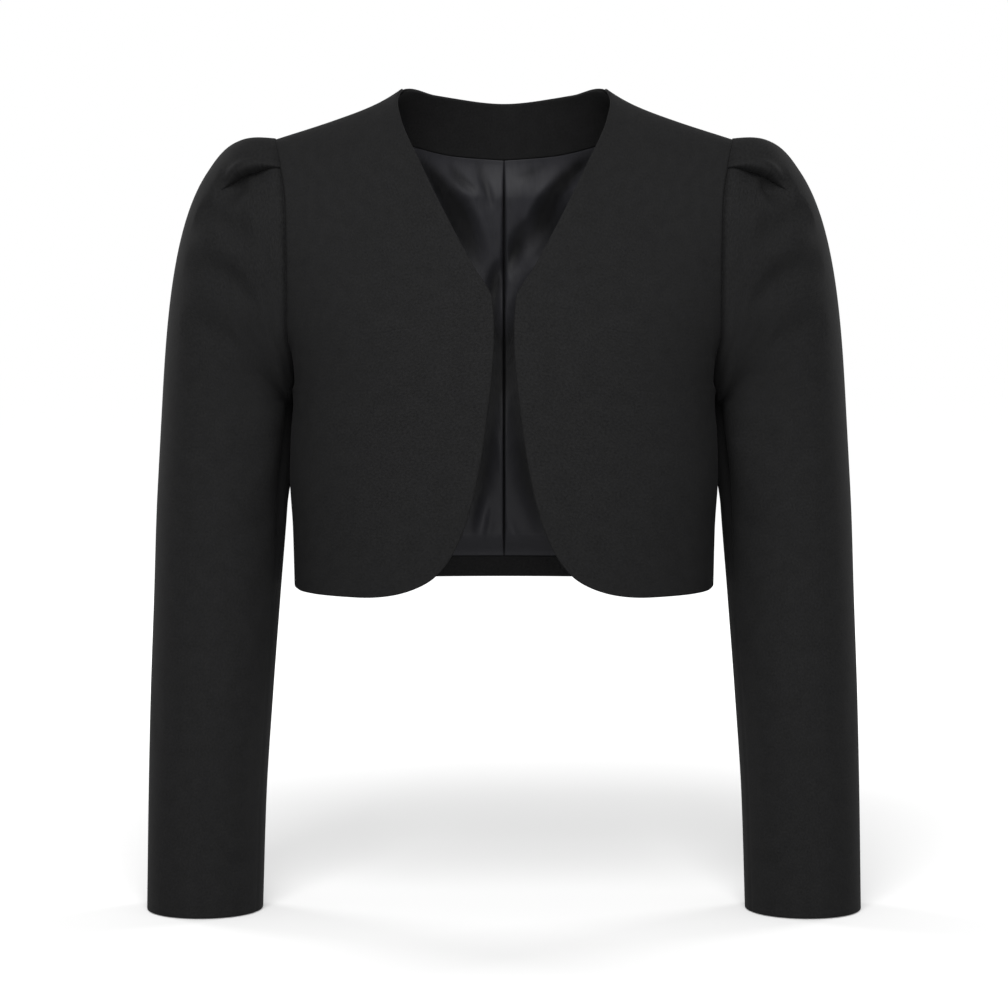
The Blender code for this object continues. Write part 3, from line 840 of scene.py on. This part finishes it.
class Shade:
    """A shader socket that takes part in sums like a number: each operator adds a Math node."""

    def __init__(self, tree, socket=None):
        self.tree = tree
        self.socket = socket

    def node(self, kind, settings, values, output=0):
        """Any node: its settings first, then a value or a link for each named socket."""
        made = self.tree.nodes.new(kind)
        for name, value in settings.items():
            setattr(made, name, value)
        self.fill(made, values)
        return Shade(self.tree, made.outputs[output])

    def fill(self, made, values):
        """Links a shade to each named input of a node, or sets the input's own value."""
        for name, value in values.items():
            if isinstance(value, Shade):
                self.tree.links.new(value.socket, made.inputs[name])
            else:
                made.inputs[name].default_value = value

    def math(self, operation, first, second=0.0):
        return self.node("ShaderNodeMath", {"operation": operation}, {0: first, 1: second})

    def __add__(self, other):
        return self.math("ADD", self, other)

    def __mul__(self, other):
        return self.math("MULTIPLY", self, other)

    __radd__ = __add__


def new_material(name):
    """A new material, its Principled shader and its tree."""
    made = bpy.data.materials.new(name)
    made.use_nodes = True
    return made, made.node_tree.nodes["Principled BSDF"], Shade(made.node_tree)


def weighted(numbers, *shades):
    """The first number, plus each shade times its own number."""
    return sum((shade * weight for shade, weight in zip(shades, numbers[1:])), numbers[0])


def cloth_patterns(tree, *patterns):
    """The cloth's place on its UV map, then for each pattern a noise of about 0 to 1 on the flat cloth."""
    place = tree.node("ShaderNodeUVMap", {"uv_map": "cloth"}, {})
    made = [place]
    for scale, detail, stretch in patterns:
        mapped = tree.node("ShaderNodeMapping", {}, {"Vector": place, "Scale": stretch})
        values = {"Vector": mapped, "Scale": scale, "Detail": detail}
        made.append(tree.node("ShaderNodeTexNoise", {}, values))
    return made


def mix_colour(tree, share, colour, darkest, lightest):
    """A colour from its darkest to its lightest multiple, by a share."""
    dark, light = (*(colour * darkest), 1.0), (*(colour * lightest), 1.0)
    return tree.node("ShaderNodeMix", {"data_type": "RGBA"}, {0: share, 6: dark, 7: light}, output=2)


def fill_cloth(tree, shader, colour, look, toned, raised):
    """Fills a cloth's shader by its look, from the patterns that tone its colour, with the satin's painted
    crease shade among them, and those that raise it.
    """
    share = weighted(look["tones"], *toned)
    height = weighted(look["heights"], *raised)
    tree.fill(shader, {
        **look["surface"],
        "Base Color": mix_colour(tree, share, colour, *look["range"]),
        "Roughness": weighted(look["roughness"], toned[0]),
        "Normal": tree.node("ShaderNodeBump", {}, {**look["bump"], "Height": height}),
    })


def suiting_material():
    """Matte black suiting: a fine twill under a soft brushed nap."""
    if "napped_suiting" in bpy.data.materials:
        return bpy.data.materials["napped_suiting"]
    colour = np.array(bpy.context.scene.blazer_cloth.suiting)
    made, shader, tree = new_material("napped_suiting")
    place, nap, cloud, fibres = cloth_patterns(tree, NAP, CLOUD, FIBRES)
    across = tree.node("ShaderNodeSeparateXYZ", {}, {"Vector": place})
    along = Shade(tree.tree, across.socket.node.outputs["Y"])
    twill = tree.math("SINE", (across + along) * (2 * np.pi / TWILL_WIDTH))
    fill_cloth(tree, shader, colour, SUITING_LOOK, (nap, cloud, fibres), (nap, fibres, twill))
    return made


def satin_material():
    """Dark satin: smooth and cool, with fine floats and small ripples; its colour is darkened in the creases
    as painted shade and lightened on the ridges as painted light.
    """
    if "lining_satin" in bpy.data.materials:
        return bpy.data.materials["lining_satin"]
    colour = np.array(bpy.context.scene.blazer_cloth.satin)
    made, shader, tree = new_material("lining_satin")
    _, floats, ripple = cloth_patterns(tree, FLOATS, RIPPLE)
    # Crease depth read from the mesh: painted shade in the creases and painted light on the ridges
    hollow = tree.node("ShaderNodeAttribute", {"attribute_name": "hollow"}, {}, output=2)
    fill_cloth(tree, shader, colour, SATIN_LOOK, (floats, ripple, hollow), (ripple, floats))
    return made


class BLAZER_OT_fronts(bpy.types.Operator):
    """Two cutaway front panels with rolled edges and soft drape"""

    bl_idname = "blazer.fronts"
    bl_label = "Fronts"

    def execute(self, context):
        half = context.scene.blazer_cloth.shell / 2
        width, length = FRONT_SIZE
        columns, upper = map(grid_lines, FRONT_LINES, FRONT_SIZE)
        rows = np.concatenate([HEM_ROWS * np.linspace(0, 1, HEM_LINES) ** 2, upper[upper > HEM_ROWS]])
        across, up = np.meshgrid(columns, rows)
        points = front_surface(across, up)
        normal, _ = normals(front_surface, across, np.maximum(up, NORMAL_LEAST))
        calm = 1 - fade(np.minimum(across, 1 - across) / FREE_EDGE)
        from_side = (1 - across) * width
        beside = np.maximum(side_groove(points[..., 2], from_side), groove((1 - up) * length, SIDE_GROOVE))
        points[..., 1] += armhole_shift(points[..., 2], 1, from_side, "front")
        wall = half * panel_edges(columns, rows, FRONT_SIZE, free=(True, False), free_top=False)
        flat = np.stack([across * width, up * length], axis=-1)
        scale = np.multiply(FRONT_SIZE, PERCENT)
        for side in SIDES:
            sunk = troughs(FRONT_TROUGHS, across / PERCENT, up / PERCENT, scale, side) * calm + beside
            outer = points + normal * (wall - sunk)[..., None]
            inner = points - normal * (wall + sunk)[..., None]
            add_side("front", side, outer, inner, flat)
        return {"FINISHED"}


class BLAZER_OT_back(bpy.types.Operator):
    """Plain back panel with rolled edges and soft drape"""

    bl_idname = "blazer.back"
    bl_label = "Back"

    def execute(self, context):
        half = context.scene.blazer_cloth.shell / 2
        width, length = BACK_SIZE
        places, rows = map(grid_lines, BACK_LINES, BACK_SIZE)
        across, up = np.meshgrid(2 * places - 1, rows)
        points = back_surface(across, up)
        normal, _ = normals(back_surface, across, up)
        from_side = (1 - np.abs(across)) * width / 2
        scale = np.multiply((width / 2, length), PERCENT)
        sunk = troughs(BACK_TROUGHS, across / PERCENT, up / PERCENT, scale)
        sunk = sunk * (1 - fade(from_side / EASE_EDGE))
        beside = np.maximum(side_groove(points[..., 2], from_side), groove((1 - up) * length, SIDE_GROOVE))
        points[..., 1] += armhole_shift(points[..., 2], -1, from_side, "back")
        at_neck = np.abs(across[:1]) < NECK_FACING_END
        wall = half * panel_edges(places, rows, BACK_SIZE, free=(False, False), free_top=at_neck)
        outer = points + normal * (wall - sunk - beside)[..., None]
        inner = points - normal * (wall + sunk + beside)[..., None]
        flat = np.stack([across * width / 2, up * length], axis=-1)
        made = shell_piece("back_cloth", outer, inner, flat, suiting_material())
        declare(made, "suiting", CUTS["back"], "back")
        return {"FINISHED"}


def pleat(turn, down, cloth):
    """Box pleat: how far the outer points rise, how far they slide over the cloth below, how far the cloth
    below the fold sinks, and the columns leant along with the folds. From its middle the pleat rises to a
    round rim, which turns under across the fold's narrow band, as half a circle, down to the hollow."""
    past_fold = np.abs(turn) - PLEAT_TURN
    ends = fade((down - PLEAT_FULL) / (PLEAT_END - PLEAT_FULL))
    fullness = ends * (1 - PLEAT_SEWN * fade(down / PLEAT_OPENS))
    on_pleat = np.minimum(past_fold, 0)
    raised = cloth.pleat_raise * (PLEAT_MIDDLE + (1 - PLEAT_MIDDLE) * fade(-on_pleat / PLEAT_TURN))
    raised = raised + cloth.pleat_roll * bell((on_pleat + ROLL_BACK) / ROLL_HALF)
    slid = cloth.pleat_tuck * bell(on_pleat / PLEAT_ROUND)
    sunk = cloth.pleat_hollow * bell(past_fold / np.where(past_fold > 0, HOLLOW_BELOW, HOLLOW_ABOVE))
    under = np.clip(past_fold / FOLD_BAND, 0, 1)
    over = (1 + np.cos(np.pi * under)) / 2
    slid = slid * (1 - under) + cloth.pleat_raise / 2 * np.sin(np.pi * under)
    rise = fullness * (raised * over - sunk * (1 - over))
    lean = PLEAT_DRIFT * np.minimum(down, PLEAT_LEAN_END) * fade(np.abs(past_fold) / PLEAT_SPREAD)
    return rise, slid * fullness * np.sign(turn), sunk * fullness, turn - lean * np.sign(turn)


class BLAZER_OT_sleeves(bpy.types.Operator):
    """Two long sleeves, pleated and puffed at the head, with an inner seam"""

    bl_idname = "blazer.sleeves"
    bl_label = "Sleeves"

    def execute(self, context):
        cloth = context.scene.blazer_cloth
        half = cloth.shell / 2
        band = FOLD_BAND * np.linspace(0, 1, FOLD_LINES)
        fold = PLEAT_TURN + np.concatenate([ABOVE_FOLD, band, BELOW_FOLD])
        even = np.radians(np.linspace(0, 180, AROUND_LINES))
        even = even[(even < fold[0] - FOLD_MARGIN) | (even > fold[-1] + FOLD_MARGIN)]
        turns = np.sort(np.concatenate([even, fold]))
        turns = np.concatenate([-turns[-2:0:-1], turns])
        first = EDGE_STEPS / HEAD_FALL
        head = np.concatenate([first, np.linspace(first[-1], 1, HEAD_LINES)[1:]])
        arm = 1 + grid_lines(ARM_LINES, ARM_FALL)[len(EDGE_STEPS):]
        turn, down = np.meshgrid(turns, np.concatenate([head, arm]))
        fall = np.minimum(down, 1) * HEAD_FALL + np.maximum(down - 1, 0) * ARM_FALL
        rise, slid, hollow, leant = pleat(turn, down, cloth)
        normal, around = normals(sleeve_surface, leant, down, ring=True)
        points = sleeve_surface(leant, down)
        to_cuff = HEAD_FALL + ARM_FALL - fall
        wall = half * edge_share(to_cuff)
        calm = 1 - fade(fall / EASE_EDGE)
        seam = groove((turn - SLEEVE_SEAM_TURN) * SLEEVE_RADIUS, SLEEVE_SEAM) * calm
        from_armhole = np.linalg.norm(points - points[:1], axis=-1)
        points[..., 1] += armhole_shift(points[:1, :, 2], np.sign(np.sin(turn)), from_armhole, "sleeve")
        flat = np.stack([turn * SLEEVE_RADIUS, fall], axis=-1)
        scale = (np.radians(SLEEVE_RADIUS), MILLIMETRE)
        for side in SIDES:
            sunk = troughs(SLEEVE_TROUGHS, np.degrees(turn), fall / MILLIMETRE, scale, side) * calm + seam
            outer = points + normal * (wall + rise - sunk)[..., None] + around * slid[..., None]
            inner = points - normal * (wall + hollow + sunk)[..., None]
            add_side("sleeve", side, outer, inner, flat, 2 * np.pi * SLEEVE_RADIUS)
        return {"FINISHED"}


def inside_back(across, up, thickness, edges, relief=0.0):
    """Outer and inner points of a layer inside the back panel, made from its points moved in."""
    half = bpy.context.scene.blazer_cloth.shell / 2
    points = back_surface(across, up)
    normal, _ = normals(back_surface, across, up)
    middle = half + LAYER_GAP + thickness / 2 + relief
    wall = thickness / 2 * edges
    return points - normal * (middle - wall)[..., None], points - normal * (middle + wall)[..., None]


def add_facing(name, across, up, edges, relief=0.0):
    """A facing inside the back, which stands in for the solid of its name and hides it."""
    outer, inner = inside_back(across, up, bpy.context.scene.blazer_cloth.facing, edges, relief)
    flat = np.stack([across * BACK_SIZE[0] / 2, up * BACK_SIZE[1]], axis=-1)
    made = shell_piece(f"{name}_cloth", outer, inner, flat, suiting_material())
    declare(made, "suiting", CUTS[name], name)


class BLAZER_OT_facings(bpy.types.Operator):
    """Back neck facing and back hem facing"""

    bl_idname = "blazer.facings"
    bl_label = "Facings"

    def execute(self, context):
        places, shares = map(grid_lines, NECK_FACING_LINES, NECK_FACING_SIZE)
        across, share = np.meshgrid(NECK_FACING_END * (2 * places - 1), shares)
        low = neck_facing_height(across)
        up = low + (1 - low) * share
        add_facing("neck_facing", across, up, panel_edges(places, shares, NECK_FACING_SIZE))

        places, shares = map(grid_lines, HEM_FACING_LINES, HEM_FACING_SIZE)
        across, share = np.meshgrid(LINING_END * (2 * places - 1), shares)
        up = back_height(across, HEM_FACING_TOP) * share
        seam = groove(back_surface(across, up)[..., 0] - HEM_FACING_SEAM, SLEEVE_SEAM)
        add_facing("hem_facing", across, up, panel_edges(places, shares, HEM_FACING_SIZE), -seam)
        return {"FINISHED"}


class BLAZER_OT_lining(bpy.types.Operator):
    """Two halves of the loose, creased satin back lining, with a seam at the centre back"""

    bl_idname = "blazer.lining"
    bl_label = "Lining"

    def execute(self, context):
        cloth = context.scene.blazer_cloth
        width, length = LINING_SIZE
        places, shares = map(grid_lines, LINING_LINES, LINING_SIZE)
        edges = panel_edges(places, shares, LINING_SIZE)
        for side, word in SIDES.items():
            columns = -side * (CENTRE_SEAM + (LINING_END - CENTRE_SEAM) * places)
            across, share = np.meshgrid(columns[::-side], shares)
            below_facing = np.abs(across) < NECK_FACING_END + FACING_MARGIN
            top = np.where(below_facing, neck_facing_height(across), 1.0) - LINING_BELOW
            low = back_height(across, HEM_FACING_TOP + LINING_ABOVE)
            up = low + (top - low) * share
            x, _, level = np.moveaxis(back_surface(across, up), -1, 0)
            sunk = troughs(LINING_TROUGHS, x / MILLIMETRE, level / MILLIMETRE, (MILLIMETRE, MILLIMETRE))
            from_side = (LINING_END - np.abs(across)) * width
            held = (1 - fade(share * length / EASE_LOW)) * (1 - fade((1 - share) * length / EASE_TOP))
            held = held * (1 - fade(from_side / EASE_EDGE))
            wider, middle, reach = CENTRE_OPEN
            open_half = CENTRE_HALF + wider * bell((level - middle) / reach)
            held = held * (1 - CENTRE_DIP * bell(x / open_half))
            room = cloth.lining_ease - LINING_LEAST
            eased = np.where(sunk > 0, room * np.exp(-np.maximum(sunk, 0) / room), room - sunk)
            relief = (LINING_LEAST + eased) * held
            outer, inner = inside_back(across, up, cloth.lining, edges[:, ::-side], relief)
            flat = np.stack([across * width, up * BACK_SIZE[1]], axis=-1)
            # Share of each crease's depth that the satin paints as shade, down to painted light on the
            # ridges
            hollow = np.clip(sunk / PAINTED_SHADE_DEPTH, PAINTED_SHADE_LEAST, 1)
            name = f"lining_back_{word}"
            made = shell_piece(f"{name}_cloth", outer, inner, flat, satin_material(), hollow=hollow)
            declare(made, "satin", CUTS["lining"], name)
        return {"FINISHED"}


def area_light(name, place, size, power):
    """Square soft light that looks at the jacket."""
    data = bpy.data.lights.new(name, "AREA")
    data.energy = power
    data.size = size
    made = add_object(name, data)
    made.location = place
    x, y, z = LIGHT_AIM - place
    made.rotation_euler = (np.arctan2(np.hypot(x, y), -z), 0.0, np.arctan2(-x, y))


class BLAZER_OT_stage(bpy.types.Operator):
    """Pale floor, soft studio light and a camera in front of the jacket"""

    bl_idname = "blazer.stage"
    bl_label = "Studio"

    def execute(self, context):
        studio = context.scene.blazer_studio
        level = CAD_BOX[0][2] - FLOOR_GAP
        mesh = bpy.data.meshes.new("floor")
        mesh.from_pydata([(x, y, level) for x, y in FLOOR_CORNERS], [], [(0, 1, 2, 3)])
        white, shader, tree = new_material("floor_white")
        place = tree.node("ShaderNodeTexCoord", {}, {}, output="Object")
        away = tree.node("ShaderNodeVectorMath", {"operation": "LENGTH"}, {0: place}, output="Value")
        range_ends = {"Value": away, "From Min": GLOW_NEAR, "From Max": GLOW_FAR}
        far = tree.node("ShaderNodeMapRange", {"interpolation_type": "SMOOTHSTEP"}, range_ends)
        glow = mix_colour(tree, far, np.ones(3), NEAR_GLOW, 1.0)
        tree.fill(shader, {**FLOOR_SURFACE, "Emission Color": glow, "Emission Strength": studio.floor_glow})
        mesh.materials.append(white)
        floor = add_object("floor", mesh)

        for name, place, size, setting in LIGHTS:
            area_light(name, place, size, getattr(studio, setting))
        world = bpy.data.worlds.new("studio_white")
        world.use_nodes = True
        background = world.node_tree.nodes["Background"]
        Shade(world.node_tree).fill(background, {"Color": WHITE, "Strength": studio.sky})
        context.scene.world = world

        data = bpy.data.cameras.new("camera")
        data.lens = studio.lens
        data.sensor_width = SENSOR_WIDTH
        camera = add_object("camera", data)
        camera.location = (0.0, -studio.distance, studio.height)
        camera.rotation_euler = (np.pi / 2 - studio.tilt, 0.0, 0.0)
        context.scene.camera = camera
        context.scene.view_settings.view_transform = "Standard"
        return {"FINISHED"}


class BLAZER_PT_panel(bpy.types.Panel):
    """Buttons for the pieces of the blazer, and their sizes"""

    bl_label = "Blazer"
    bl_idname = "BLAZER_PT_panel"
    bl_space_type = "VIEW_3D"
    bl_region_type = "UI"
    bl_category = "Blazer"

    def draw(self, context):
        for operator in OPERATORS:
            self.layout.operator(operator.bl_idname)
        for group in (context.scene.blazer_cloth, context.scene.blazer_studio):
            for name in group.__annotations__:
                self.layout.prop(group, name)


OPERATORS = (
    BLAZER_OT_stage,
    BLAZER_OT_fronts,
    BLAZER_OT_back,
    BLAZER_OT_sleeves,
    BLAZER_OT_facings,
    BLAZER_OT_lining,
)
CLASSES = (BlazerCloth, BlazerStudio, *OPERATORS, BLAZER_PT_panel)


def register():
    for made in CLASSES:
        bpy.utils.register_class(made)
    bpy.types.Scene.blazer_cloth = PointerProperty(type=BlazerCloth)
    bpy.types.Scene.blazer_studio = PointerProperty(type=BlazerStudio)


def unregister():
    del bpy.types.Scene.blazer_studio
    del bpy.types.Scene.blazer_cloth
    for made in reversed(CLASSES):
        bpy.utils.unregister_class(made)


def main():
    """Registers the pieces and makes them in order."""
    register()
    bpy.ops.blazer.stage()
    bpy.ops.blazer.fronts()
    bpy.ops.blazer.back()
    bpy.ops.blazer.sleeves()
    bpy.ops.blazer.facings()
    bpy.ops.blazer.lining()


if __name__ == "__main__":
    main()
